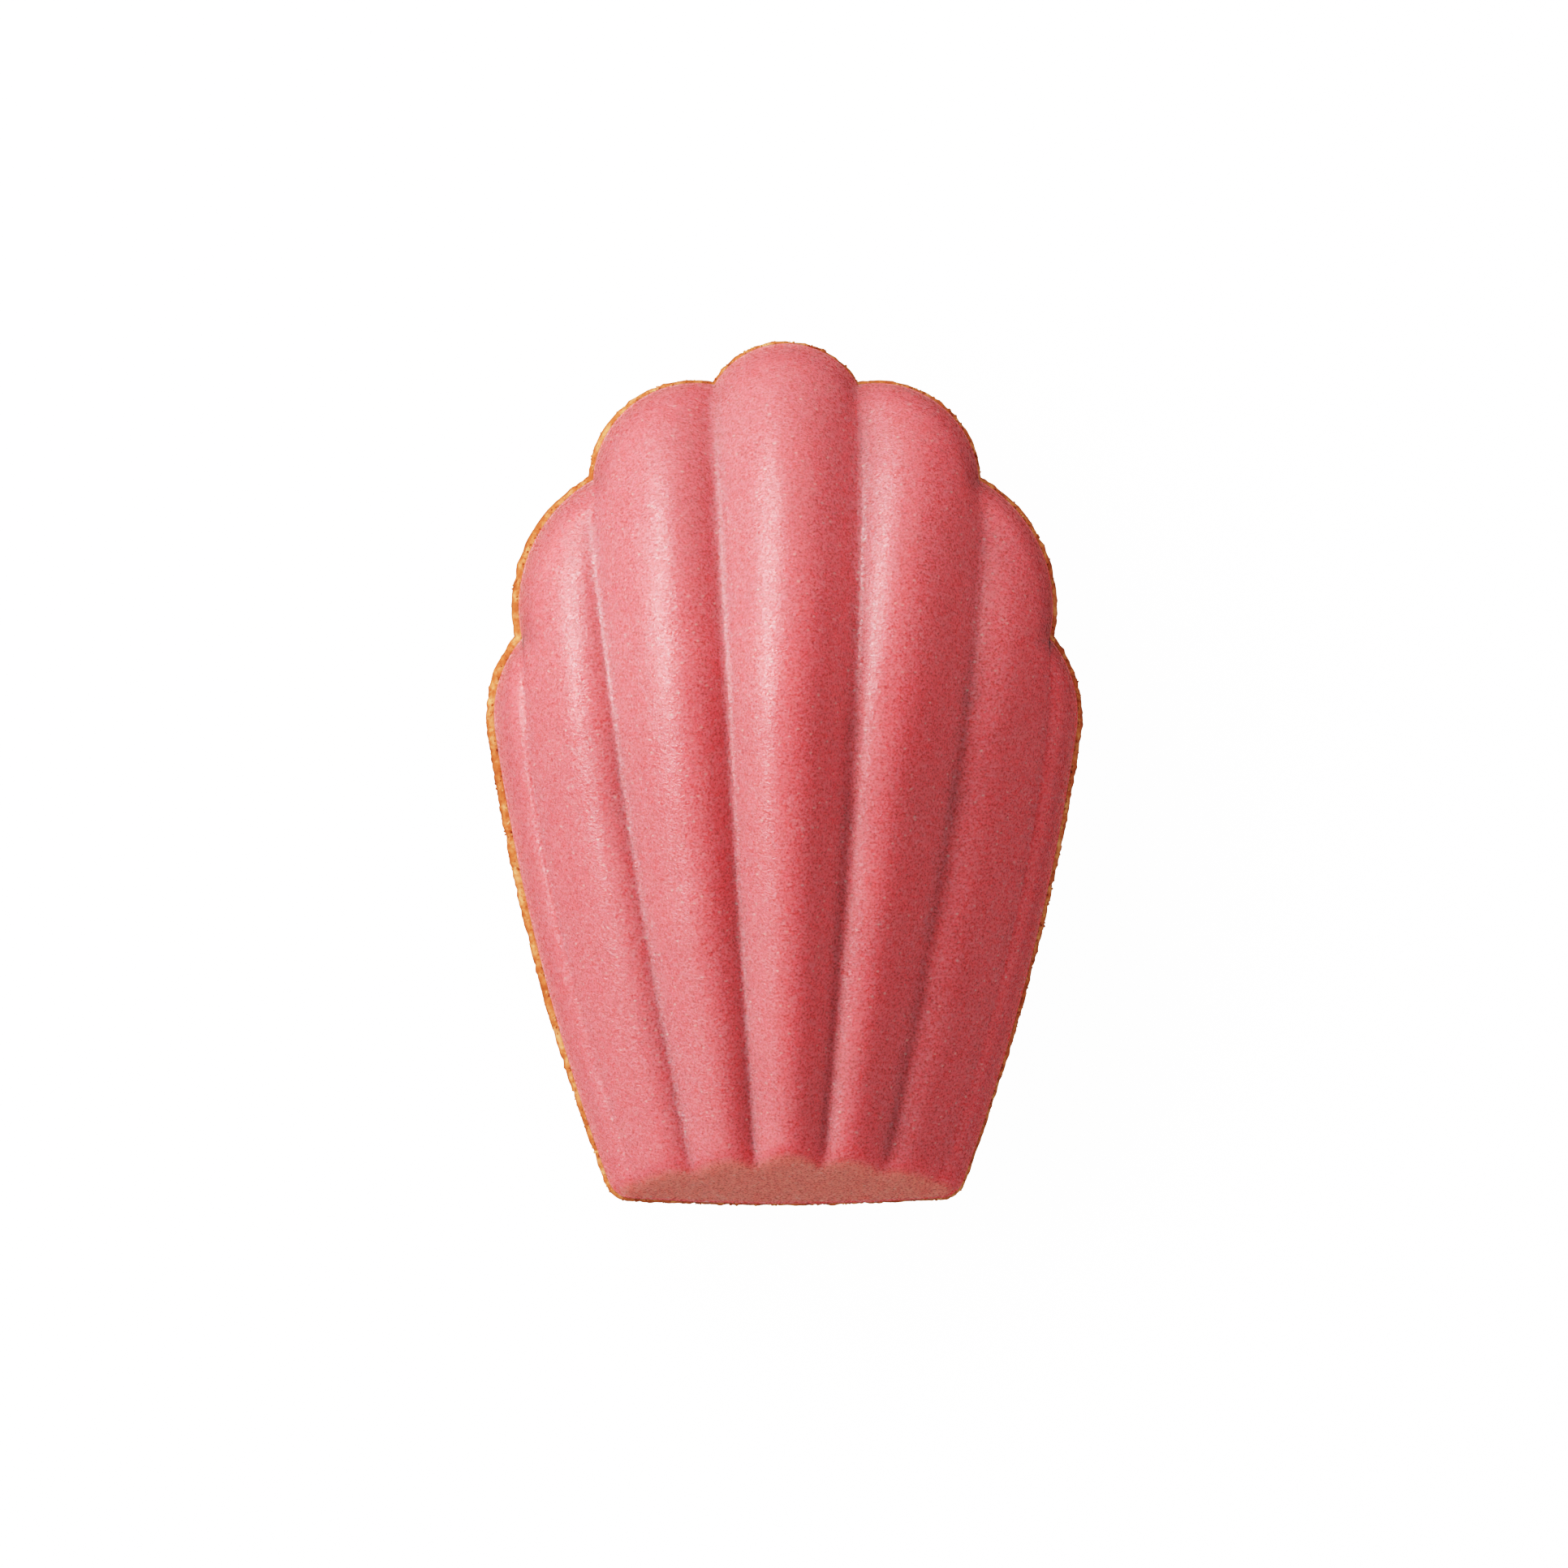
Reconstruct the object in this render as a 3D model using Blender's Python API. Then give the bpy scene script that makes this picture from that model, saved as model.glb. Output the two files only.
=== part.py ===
"""A madeleine whose ribbed face wears a moulded coating of coloured chocolate.

It lies on its baked hump with the ribs up. X runs across the ribs and Y along them, with the
narrow heel at -Y and the scalloped end at +Y. Z is up, and the cake rests on the flat spot of
its hump at Z = 0. Two solids: the sponge, with its projecting browned rim and its hump, and
the coating shell that covers the ribbed face down to that rim.

Lengths are in millimetres, and MM turns them into metres as the meshes are written.
"""

import math

import bmesh
import bpy
from mathutils import Vector

MM = 0.001

# Plan of the coating: four lobes on each side share the middle one, as centre X, centre Y, radius.
LOBES = (
    (0.0, 28.1, 6.7),
    (7.35, 23.35, 8.25),
    (9.8, 13.5, 11.8),
    (14.1, 4.8, 9.5),
)
END_Y = 34.8  # tip of the middle lobe
HALF_WIDTH = 23.6  # widest point, on the outer lobe
WIDEST_Y = 4.8
SIDE_RADIUS = 185.0  # long arc from the outer lobe down to the heel
SIDE_ANGLE = math.radians(8.3)  # how far round the outer lobe that arc starts
HEEL_Y = -34.8
HEEL_BOW = 0.003  # the heel's foot line bows outwards by this times X squared
CORNER_RADIUS = 1.84
CORNER_TURN = math.radians(70.8)  # how far the outline turns between heel and side

# Grooves between the ribs, from the middle outwards: X at the heel, how they bend, and their
# depth at the scalloped end and at the heel as shares of half a rib's width.
GROOVES = (
    (2.42, 1.44, 0.52, 0.52),
    (7.1, 1.45, 0.38, 0.36),
    (11.7, 1.73, 0.26, 0.12),
)
RIB_FULLNESS = 0.4  # a rib's section is an arc that spans this share of its own radius
GROOVE_FILLET = 0.15  # share of half a rib that rounds the bottom of the groove

# Heights above the coating's lower edge.
FOOT_HEIGHT = 0.8
FOOT_WIDTH = 0.12  # the upright foot stands this far outside the face
FOOT_ROUNDING = 0.1
FACE_HEIGHT = 17.5  # ribbed face above its foot, if its ridge line were sharp
CREST_Y = 6.6  # highest place along the cake
CREST_AT_HEEL = 7.0
CREST_POWER = 1.43
DOME_POWER = 1.5  # 2 would be an ellipse across the cake, and 1 a roof
DOME_SOFTNESS = 0.12  # share of the half-width over which the roof's ridge is rounded
SHOULDER = 1.5  # plan width of the steep wall and its rounded top
HEEL_SLOPE = math.radians(63)
HEEL_ROUNDING = 1.3
NOTCH_ROUNDING = 0.5
CORE = 0.88  # inside this share of the outline the wall has no effect

COATING = 1.25
GAP = 0.35  # clearance between the coating and the sponge

# The sponge's rim and hump, measured down from the coating's lower edge.
RIM_WIDTH = 0.38  # how far the browned rim stands out past the coating
RIM_LEFT = 0.1  # more than that on the left, less on the right
RIM_SIDES = 0.17  # more along the sides, less at heel and tip
RIM_RIPPLE = 0.06
RIM_WAVES = 5  # ripples round the whole rim
RIM_LEDGE = 0.6  # share of the rim that is flat before its edge turns down
RIM_THICKNESS = 1.7
HUMP_DEPTH = 8.2
HUMP_START = 0.94  # the hump leaves the rim's underside at this scale of the outline
HUMP_BELLY = (19.5, 29.0)  # half-axes of the oval that the hump swells towards
HUMP_FULLNESS = 2.2
SPOT = (8.5, 12.0)  # half-axes of the flat spot that it rests on
SPOT_Y = 1.5

# Mesh density.
WELD = 0.001
RIBS = 2 * len(LOBES) - 1
PER_RIB = 8
HEEL_ROWS = 2
RIB_ROWS = 15
HEEL_SHARE = HEEL_ROWS / (HEEL_ROWS + RIB_ROWS)
END_CROWDING = 1.6  # rows close up towards the scalloped end
GROOVE_CROWDING = 0.6  # columns close up towards the grooves
BULGE_POWER = 6
HUMP_RINGS = 5


def smooth_max(a, b, width):
    """The larger of two lengths, with the crease between them rounded."""
    overlap = max(width - abs(a - b), 0.0) / width
    return max(a, b) + overlap * overlap * width / 4


def smooth_min(a, b, width):
    return -smooth_max(-a, -b, width)


def notch(inner, outer):
    """Where two neighbouring lobes cross, on the outline."""
    (x0, y0, r0), (x1, y1, r1) = inner, outer
    apart = math.hypot(x1 - x0, y1 - y0)
    along = (apart**2 + r0**2 - r1**2) / (2 * apart)
    out = math.sqrt(r0**2 - along**2)
    dx, dy = (x1 - x0) / apart, (y1 - y0) / apart
    return Vector((x0 + along * dx - out * dy, y0 + along * dy + out * dx))


NOTCHES = [notch(inner, outer) for inner, outer in zip(LOBES, LOBES[1:])]
WIDEST = Vector((HALF_WIDTH, WIDEST_Y))


def side_x(y):
    """Half-width of the outline below its widest point."""
    cx, cy, radius = LOBES[-1]
    if y >= cy - radius * math.sin(SIDE_ANGLE):
        return cx + math.sqrt(max(radius**2 - (y - cy) ** 2, 0.0))
    centre_x = cx - (SIDE_RADIUS - radius) * math.cos(SIDE_ANGLE)
    centre_y = cy + (SIDE_RADIUS - radius) * math.sin(SIDE_ANGLE)
    return centre_x + math.sqrt(SIDE_RADIUS**2 - (y - centre_y) ** 2)


def foot_y(x):
    """The heel's foot line."""
    return HEEL_Y + HEEL_BOW * x * x


def dome_reach(x, y):
    """0 on the long axis, or at the highest place, and 1 on the smooth outline."""
    if y > CREST_Y:
        return math.hypot(x / HALF_WIDTH, (y - CREST_Y) / (END_Y - CREST_Y))
    return abs(x) / side_x(min(y, WIDEST_Y))


def dome(x, y):
    """Height of the face without its grooves."""
    reach = math.hypot(dome_reach(x, y), DOME_SOFTNESS) / math.hypot(1, DOME_SOFTNESS)
    back = max(CREST_Y - y, 0.0) / (CREST_Y - HEEL_Y)
    crest = FACE_HEIGHT - (FACE_HEIGHT - CREST_AT_HEEL) * back**CREST_POWER
    return crest * (1 - min(reach, 0.999) ** DOME_POWER) ** (1 / DOME_POWER)


def wall(x, y):
    """0 at the outline, rising through a round shoulder to 1 on the face."""
    x = abs(x)
    if y < LOBES[-1][1] - LOBES[-1][2] * math.sin(SIDE_ANGLE):
        inside = side_x(y) - x
    else:
        inside = (CORE - dome_reach(x, y)) * HALF_WIDTH
        for cx, cy, radius in LOBES:
            inside = smooth_max(inside, radius - math.hypot(x - cx, y - cy), NOTCH_ROUNDING)
    left = 1 - min(max(inside / SHOULDER, 0.0), 1.0)
    return math.sqrt(1 - left * left)


def groove_point(index, share):
    """Point of a groove, or of the side line, at a share of its length from foot to notch."""
    if index == len(GROOVES):
        y = foot_y(side_x(HEEL_Y)) + (WIDEST_Y - foot_y(side_x(HEEL_Y))) * share
        return Vector((side_x(y), y))
    start, bend = GROOVES[index][:2]
    end = NOTCHES[index]
    x = start + (end.x - start) * (1 - (1 - share) ** bend)
    return Vector((x, foot_y(start) + (end.y - foot_y(start)) * share))


def lobe_point(index, part):
    """Point on a lobe's arc, from its inner notch (0) to its outer one (1)."""
    cx, cy, radius = LOBES[index]
    ends = [Vector((-NOTCHES[0].x, NOTCHES[0].y))] + NOTCHES + [WIDEST]
    start, stop = (math.atan2(end.y - cy, end.x - cx) for end in ends[index : index + 2])
    angle = start + (stop - start) * part
    return Vector((cx + radius * math.cos(angle), cy + radius * math.sin(angle)))


def rib_place(phase):
    """(rib, part) of an unsigned phase: whole phases are crests, halves are grooves."""
    rib = min(int(phase + 0.5), len(LOBES) - 1)
    return rib, phase + 0.5 - rib


def ribbed_plan(phase, share):
    """Plan point on the right-hand half: phase across the ribs, share from foot to end."""
    rib, part = rib_place(phase)
    right = groove_point(rib, share)
    left = groove_point(rib - 1, share) if rib else Vector((-right.x, right.y))
    stop = groove_point(rib, 1)
    start = groove_point(rib - 1, 1) if rib else Vector((-stop.x, stop.y))
    bulge = lobe_point(rib, part) - start.lerp(stop, part)
    return left.lerp(right, part) + bulge * share**BULGE_POWER


def rib_section(across):
    """0 on a crest (0) to 1 in the groove (1): an arc with a fillet where it meets the next."""

    def drop(place):
        edge = 1 / math.sqrt(1 - RIB_FULLNESS**2)
        arc = (1 - math.sqrt(1 - (RIB_FULLNESS * place) ** 2)) / RIB_FULLNESS**2
        return arc - edge * max(place - 1 + GROOVE_FILLET, 0) ** 2 / (2 * GROOVE_FILLET)

    return drop(across) / drop(1)


def groove_cut(phase, share):
    """How far the face is cut down between two ribs."""
    rib, part = rib_place(phase)
    across = 2 * part - 1
    if rib == len(LOBES) - 1 and across > 0:
        return 0.0
    index = max(rib if across > 0 else rib - 1, 0)
    here = groove_point(index, share)
    outer = (groove_point(index + 1, share) - here).length
    inner = abs(here.x - groove_point(index - 1, share).x) if index else 2 * here.x
    at_end, at_heel = GROOVES[index][2:]
    depth = at_end + (at_heel - at_end) * (1 - share) ** 2
    return depth * (outer + inner) / 4 * rib_section(min(abs(across), 1))


def heel_edge(phase):
    """Share of the way from foot to end at which a column crosses the heel's top edge."""
    edge = 0.0
    for _ in range(4):
        point = ribbed_plan(phase, edge)
        climb = (dome(point.x, point.y) - groove_cut(phase, edge)) / math.tan(HEEL_SLOPE)
        edge = climb / (ribbed_plan(phase, 1).y - HEEL_Y)
    return edge


def crowded(phase):
    """Shifts evenly spaced phases towards the grooves, where the face turns fastest."""
    return phase + GROOVE_CROWDING * math.sin(math.tau * phase) / math.tau


def row_share(edge, row):
    """Share of the way from foot to end of a row, 0 to 1, with one row on the heel's top edge."""
    if row < HEEL_SHARE:
        return edge * row / HEEL_SHARE
    rest = (row - HEEL_SHARE) / (1 - HEEL_SHARE)
    return edge + (1 - edge) * (1 - (1 - rest) ** END_CROWDING)


def round_corner(point):
    """Draws the sharp corner between heel and side in to its radius."""
    corner = groove_point(len(GROOVES), 0)
    reach = CORNER_RADIUS * math.tan(CORNER_TURN / 2)
    depth = CORNER_RADIUS * (1 / math.cos(CORNER_TURN / 2) - 1)
    inwards = Vector((-math.sin(CORNER_TURN / 2), math.cos(CORNER_TURN / 2)))
    near = max(1 - (point - corner).length / reach, 0.0)
    return point + inwards * depth * near * near


def face_point(phase, share):
    """The coating's outer face over its lower edge, on the right-hand half."""
    point = ribbed_plan(phase, share)
    high = (dome(point.x, point.y) - groove_cut(phase, share)) * wall(point.x, point.y)
    heel = (point.y - foot_y(point.x)) * math.tan(HEEL_SLOPE)
    high = max(smooth_min(high, heel, HEEL_ROUNDING), 0.0)
    point = round_corner(point)
    return Vector((point.x, point.y, FOOT_HEIGHT + high))


def shrink(inset):
    """Scale that brings the face in by a wall of this thickness on every side."""
    full = (HALF_WIDTH, END_Y, FACE_HEIGHT + FOOT_HEIGHT)
    return Vector([1 - inset / length for length in full])


def ribbed_grid(mesh, inset):
    """One ribbed face, brought in by inset. Returns its boundary edges."""
    spot = mesh.verts.layers.float_vector.get("spot") or mesh.verts.layers.float_vector.new("spot")
    columns = PER_RIB * RIBS
    rows = HEEL_ROWS + RIB_ROWS
    made = bmesh.ops.create_grid(mesh, x_segments=columns, y_segments=rows, size=0.5)["verts"]
    scale = shrink(inset)
    edges_at = {}
    for vert in made:
        side = math.copysign(1, vert.co.x)
        column = round(abs(vert.co.x) * columns * 2)
        phase = crowded(column / columns * RIBS / 2)
        row = min(max(vert.co.y + 0.5, 0.0), 1.0)
        if column not in edges_at:
            edges_at[column] = heel_edge(phase)
        point = face_point(phase, row_share(edges_at[column], row))
        point.x *= side
        if column == columns or row < 1e-5 or row > 1 - 1e-5:
            point.z = FOOT_HEIGHT
        vert[spot] = point
        vert.co = point * scale
    inside = set(made)
    edges = {edge for vert in made for edge in vert.link_edges}
    return [edge for edge in edges if edge.is_boundary and set(edge.verts) <= inside]


def add_ring(mesh, edges, place):
    """Extrudes a closed loop of edges and moves its new points to place(outline point)."""
    spot = mesh.verts.layers.float_vector["spot"]
    made = bmesh.ops.extrude_edge_only(mesh, edges=edges)["geom"]
    for vert in made:
        if isinstance(vert, bmesh.types.BMVert):
            vert.co = place(vert[spot])
    return [item for item in made if isinstance(item, bmesh.types.BMEdge) and item.is_boundary]


def outline(inset, height):
    """A ring rule: the outline brought in by inset, at one height."""
    scale = shrink(inset)
    return lambda spot: Vector((spot.x * scale.x, spot.y * scale.y, height))


def bearing(spot):
    """Angle round the cake, from the scalloped tip towards +X, evened out for its length."""
    return math.atan2(spot.x / HALF_WIDTH, spot.y / END_Y)


def rim_width(spot):
    """The browned rim is uneven, as the batter spread in the tin."""
    angle = bearing(spot)
    sides = -RIM_SIDES * math.cos(2 * angle) - RIM_LEFT * math.sin(angle)
    return RIM_WIDTH + sides + RIM_RIPPLE * math.sin(RIM_WAVES * angle)


def rim(share, height):
    """A ring rule: share of the way out over the rim, at one height."""

    def place(spot):
        outwards = Vector((spot.x, spot.y / 2, 0)).normalized()
        point = Vector((spot.x, spot.y, height))
        return point + outwards * rim_width(spot) * share

    return place


def oval(axes, middle_y, angle):
    return Vector((axes[0] * math.sin(angle), middle_y + axes[1] * math.cos(angle), 0))


def hump(ring):
    """A ring rule: from the rim's underside (0) through the belly to the flat spot (1)."""

    def place(spot):
        angle = bearing(spot)
        start = Vector((spot.x, spot.y, 0)) * HUMP_START
        belly = oval(HUMP_BELLY, 0.0, angle)
        flat = oval(SPOT, SPOT_Y, angle)
        point = start.lerp(belly, ring).lerp(belly.lerp(flat, ring), ring)
        sink = 1 - (1 - ring) ** HUMP_FULLNESS
        point.z = -RIM_THICKNESS - (HUMP_DEPTH - RIM_THICKNESS) * sink
        return point

    return place


def make_coating(mesh):
    """The shell: outer face, foot, flat lower edge and the inner face over the sponge."""
    outer = ribbed_grid(mesh, FOOT_WIDTH)
    outer = add_ring(mesh, outer, outline(0.0, FOOT_HEIGHT - FOOT_ROUNDING))
    outer = add_ring(mesh, outer, outline(0.0, 0.0))
    add_ring(mesh, outer, outline(FOOT_WIDTH + COATING, 0.0))
    inner = ribbed_grid(mesh, FOOT_WIDTH + COATING)
    add_ring(mesh, inner, outline(FOOT_WIDTH + COATING, 0.0))
    bmesh.ops.remove_doubles(mesh, verts=mesh.verts, dist=WELD)


def make_sponge(mesh):
    """The cake: ribbed top under the coating, ledge, browned rim, hump and flat spot."""
    inset = FOOT_WIDTH + COATING + GAP
    loop = ribbed_grid(mesh, inset)
    loop = add_ring(mesh, loop, outline(inset, -GAP))
    loop = add_ring(mesh, loop, rim(RIM_LEDGE, -GAP))
    loop = add_ring(mesh, loop, rim(1.0, -RIM_THICKNESS / 2))
    for ring in range(HUMP_RINGS + 1):
        loop = add_ring(mesh, loop, hump(ring / HUMP_RINGS))
    bmesh.ops.contextual_create(mesh, geom=loop)


def make_material(name, colour, roughness):
    material = bpy.data.materials.new(name)
    material.use_nodes = True
    shader = material.node_tree.nodes["Principled BSDF"]
    shader.inputs["Base Color"].default_value = (*colour, 1)
    shader.inputs["Roughness"].default_value = roughness
    shader.inputs["Metallic"].default_value = 0.0
    return material


def add_object(name, make, material):
    mesh = bmesh.new()
    make(mesh)
    bmesh.ops.recalc_face_normals(mesh, faces=mesh.faces)
    data = bpy.data.meshes.new(name)
    mesh.to_mesh(data)
    mesh.free()
    data.materials.append(material)
    data.shade_smooth()
    data.set_sharp_from_angle(angle=math.radians(50))
    piece = bpy.data.objects.new(name, data)
    bpy.context.scene.collection.objects.link(piece)
    return piece


def stand_on_origin(pieces):
    """Turns millimetres to metres and puts the middle of the underside at the origin."""
    corners = [vert.co for piece in pieces for vert in piece.data.vertices]
    low = Vector([min(corner[axis] for corner in corners) for axis in range(3)])
    high = Vector([max(corner[axis] for corner in corners) for axis in range(3)])
    base = Vector(((low.x + high.x) / 2, (low.y + high.y) / 2, low.z))
    for piece in pieces:
        for vert in piece.data.vertices:
            vert.co = (vert.co - base) * MM
        piece.data.update()


def main():
    for old in list(bpy.data.objects):
        bpy.data.objects.remove(old)
    pink = make_material("coating", (0.80, 0.25, 0.25), 0.45)
    golden = make_material("sponge", (0.72, 0.36, 0.10), 0.8)
    pieces = [
        add_object("coating", make_coating, pink),
        add_object("cake", make_sponge, golden),
    ]
    stand_on_origin(pieces)


main()
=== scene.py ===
"""The looks of a coated madeleine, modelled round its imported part.

The cake lies on its baked hump with its ribs up. X runs across the ribs, Y along them from the
heel at -Y to the scalloped end at +Y, and Z is up. Shape rules are in millimetres, measured from
the middle of the coating's lower edge; every mesh is turned into metres, and moved to where the
frame holds that edge, as it is finished.
"""

import math
import random

import bmesh
import bpy
from bpy.props import (
    FloatProperty,
    FloatVectorProperty,
    IntProperty,
    PointerProperty,
)
from mathutils import Matrix, Vector, noise


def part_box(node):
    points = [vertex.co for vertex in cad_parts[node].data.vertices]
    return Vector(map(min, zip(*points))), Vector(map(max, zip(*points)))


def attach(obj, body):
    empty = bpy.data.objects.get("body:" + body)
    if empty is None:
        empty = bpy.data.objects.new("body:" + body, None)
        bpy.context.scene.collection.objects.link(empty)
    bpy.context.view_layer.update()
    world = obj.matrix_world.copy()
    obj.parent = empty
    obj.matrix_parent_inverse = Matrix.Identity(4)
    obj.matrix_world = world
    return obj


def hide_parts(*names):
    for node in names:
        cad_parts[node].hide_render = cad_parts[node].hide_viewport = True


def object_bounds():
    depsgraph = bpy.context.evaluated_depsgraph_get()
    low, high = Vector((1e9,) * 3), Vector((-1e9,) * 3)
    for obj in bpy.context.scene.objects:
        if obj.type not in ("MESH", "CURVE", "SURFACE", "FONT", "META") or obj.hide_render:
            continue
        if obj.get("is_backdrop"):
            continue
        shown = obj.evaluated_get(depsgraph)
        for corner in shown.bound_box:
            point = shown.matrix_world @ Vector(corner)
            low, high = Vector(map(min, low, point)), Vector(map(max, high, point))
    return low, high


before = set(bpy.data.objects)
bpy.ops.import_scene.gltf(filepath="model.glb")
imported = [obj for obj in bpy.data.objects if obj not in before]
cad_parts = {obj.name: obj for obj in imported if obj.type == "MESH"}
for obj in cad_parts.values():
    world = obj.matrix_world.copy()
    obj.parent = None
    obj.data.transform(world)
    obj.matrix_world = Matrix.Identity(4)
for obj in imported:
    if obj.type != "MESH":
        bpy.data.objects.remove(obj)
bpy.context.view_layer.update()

bl_info = {
    "name": "Coated madeleine",
    "version": (1, 0, 0),
    "blender": (4, 5, 0),
    "location": "3D View > Sidebar > Madeleine",
    "description": "Models a madeleine with a moulded pink coating, piece by piece",
    "category": "Add Mesh",
}

MM = 0.001

# Plan of the coating: four lobes on each side share the middle one, as centre X, centre Y, radius.
LOBES = (
    (0.0, 28.1, 6.7),
    (7.35, 23.35, 8.25),
    (9.8, 13.5, 11.8),
    (14.1, 4.8, 9.5),
)
RIBS = 2 * len(LOBES) - 1
END_Y = 34.8  # tip of the middle lobe
HALF_WIDTH = 23.6  # widest point, on the outer lobe
WIDEST_Y = 4.8
SIDE_RADIUS = 185.0  # long arc from the outer lobe down to the heel
SIDE_ANGLE = math.radians(8.3)  # how far round the outer lobe that arc starts
HEEL_Y = -34.8
HEEL_BOW = 0.003  # the heel's foot line bows outwards by this times X squared
CORNER_RADIUS = 1.84
CORNER_TURN = math.radians(70.8)  # how far the outline turns between heel and side

# Grooves between the ribs, from the middle outwards: X at the heel, how they bend, and their
# depth at the scalloped end and at the heel as shares of half a rib's width.
GROOVES = (
    (2.42, 1.44, 0.52, 0.52),
    (7.1, 1.45, 0.38, 0.36),
    (11.7, 1.73, 0.26, 0.12),
)
RIB_FULLNESS = 0.4  # a rib's section is an arc that spans this share of its own radius
GROOVE_FILLET = 0.15  # share of half a rib that rounds the bottom of the groove

# Heights above the coating's lower edge.
FOOT_HEIGHT = 0.8
FOOT_WIDTH = 0.12
FOOT_ROUNDING = 0.3
FACE_HEIGHT = 17.5  # ribbed face above its foot, if its ridge line were sharp
CREST_Y = 6.6  # highest place along the cake
CREST_AT_HEEL = 7.0
CREST_POWER = 1.43
DOME_POWER = 1.5  # 2 would be an ellipse across the cake, and 1 a roof
DOME_SOFTNESS = 0.12  # share of the half-width over which the roof's ridge is rounded
SHOULDER = 1.5  # plan width of the steep wall and its rounded top
HEEL_SLOPE = math.radians(63)
HEEL_ROUNDING = 1.3
NOTCH_ROUNDING = 0.5
CORE = 0.88  # inside this share of the outline the wall has no effect
WALL_SHADE_AND_SATIN = 0.25  # weight of the browner painted shade tint and of the duller satin on the side walls, where the heel has 1

# The sponge's hump, measured down from the coating's lower edge.
RIM_THICKNESS = 1.7
HUMP_DEPTH = 8.2
HUMP_START = 0.94  # the hump leaves the rim's underside at this scale of the outline
HUMP_BELLY = (19.5, 29.0)  # half-axes of the oval that the hump swells towards
HUMP_FULLNESS = 2.2
SPOT = (8.5, 12.0)  # half-axes of the flat spot that it rests on
SPOT_Y = 1.5

# Mesh density.
WELD = 0.001
COATING_COLUMNS = 32 * RIBS
COATING_ROWS = 170
CORE_COLUMNS = 14 * RIBS
CORE_ROWS = 72
RIM_CUTS = 2  # extra points in each edge of the core, for the rough rim
RIM_RINGS = 12
HUMP_RINGS = 50
HEEL_SHARE = 2 / 17  # share of the rows that the heel's slope takes
END_CROWDING = 1.6  # rows close up towards the scalloped end
GROOVE_CROWDING = 0.6  # columns close up towards the grooves
BULGE_POWER = 6
TUCK = 8.0  # a column's least depth inside the outline, for each unit of share left to its end
TUCK_START = 0.9  # share from which that holds

# The picture's tone curve: the light that comes out white, and the tones of some lesser lights.
WHITE_LEVEL = 1.8
TONES = (
    (0.05, 0.014),
    (0.1, 0.043),
    (0.2, 0.165),
    (0.3, 0.295),
    (0.4, 0.425),
    (0.6, 0.63),
    (0.8, 0.755),
    (1.0, 0.83),
    (1.3, 0.92),
)


# ---------------------------------------------------------------- shape rules


def smooth_max(a, b, width):
    """The larger of two lengths, with the crease between them rounded."""
    overlap = max(width - abs(a - b), 0.0) / width
    return max(a, b) + overlap * overlap * width / 4


def smooth_min(a, b, width):
    return -smooth_max(-a, -b, width)


def smooth_step(low, high, value):
    """0 below low, 1 above high, with a soft run between them."""
    share = min(max((value - low) / (high - low), 0.0), 1.0)
    return share * share * (3 - 2 * share)


def notch(inner, outer):
    """Where two neighbouring lobes cross, on the outline."""
    (x0, y0, r0), (x1, y1, r1) = inner, outer
    apart = math.hypot(x1 - x0, y1 - y0)
    along = (apart**2 + r0**2 - r1**2) / (2 * apart)
    out = math.sqrt(r0**2 - along**2)
    dx, dy = (x1 - x0) / apart, (y1 - y0) / apart
    return Vector((x0 + along * dx - out * dy, y0 + along * dy + out * dx))


NOTCHES = [notch(inner, outer) for inner, outer in zip(LOBES, LOBES[1:])]
WIDEST = Vector((HALF_WIDTH, WIDEST_Y))


def side_x(y):
    """Half-width of the outline below its widest point."""
    cx, cy, radius = LOBES[-1]
    if y >= cy - radius * math.sin(SIDE_ANGLE):
        return cx + math.sqrt(max(radius**2 - (y - cy) ** 2, 0.0))
    centre_x = cx - (SIDE_RADIUS - radius) * math.cos(SIDE_ANGLE)
    centre_y = cy + (SIDE_RADIUS - radius) * math.sin(SIDE_ANGLE)
    return centre_x + math.sqrt(SIDE_RADIUS**2 - (y - centre_y) ** 2)


def foot_y(x):
    """The heel's foot line."""
    return HEEL_Y + HEEL_BOW * x * x


def dome_reach(x, y):
    """0 on the long axis, or at the highest place, and 1 on the smooth outline."""
    if y > CREST_Y:
        return math.hypot(x / HALF_WIDTH, (y - CREST_Y) / (END_Y - CREST_Y))
    return abs(x) / side_x(min(y, WIDEST_Y))


def dome(x, y):
    """Height of the face without its grooves."""
    reach = math.hypot(dome_reach(x, y), DOME_SOFTNESS) / math.hypot(1, DOME_SOFTNESS)
    back = max(CREST_Y - y, 0.0) / (CREST_Y - HEEL_Y)
    crest = FACE_HEIGHT - (FACE_HEIGHT - CREST_AT_HEEL) * back**CREST_POWER
    return crest * (1 - min(reach, 0.999) ** DOME_POWER) ** (1 / DOME_POWER)


def depth_inside(x, y):
    """How far inside the outline a plan point is, exact only near the outline."""
    x = abs(x)
    if y < LOBES[-1][1] - LOBES[-1][2] * math.sin(SIDE_ANGLE):
        return side_x(y) - x
    inside = (CORE - dome_reach(x, y)) * HALF_WIDTH
    for cx, cy, radius in LOBES:
        inside = smooth_max(inside, radius - math.hypot(x - cx, y - cy), NOTCH_ROUNDING)
    return inside


def wall(x, y):
    """0 at the outline, rising through a round shoulder to 1 on the face."""
    left = 1 - min(max(depth_inside(x, y) / SHOULDER, 0.0), 1.0)
    return math.sqrt(1 - left * left)


def tucked(point, phase, share):
    """Keeps a column that runs up beside the outline from straying across it before its end."""
    if phase >= len(GROOVES) - 0.5 or share < TUCK_START:
        return point
    short = (1 - share) * TUCK - depth_inside(point.x, point.y)
    return point - Vector((max(short, 0.0), 0.0))


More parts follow.
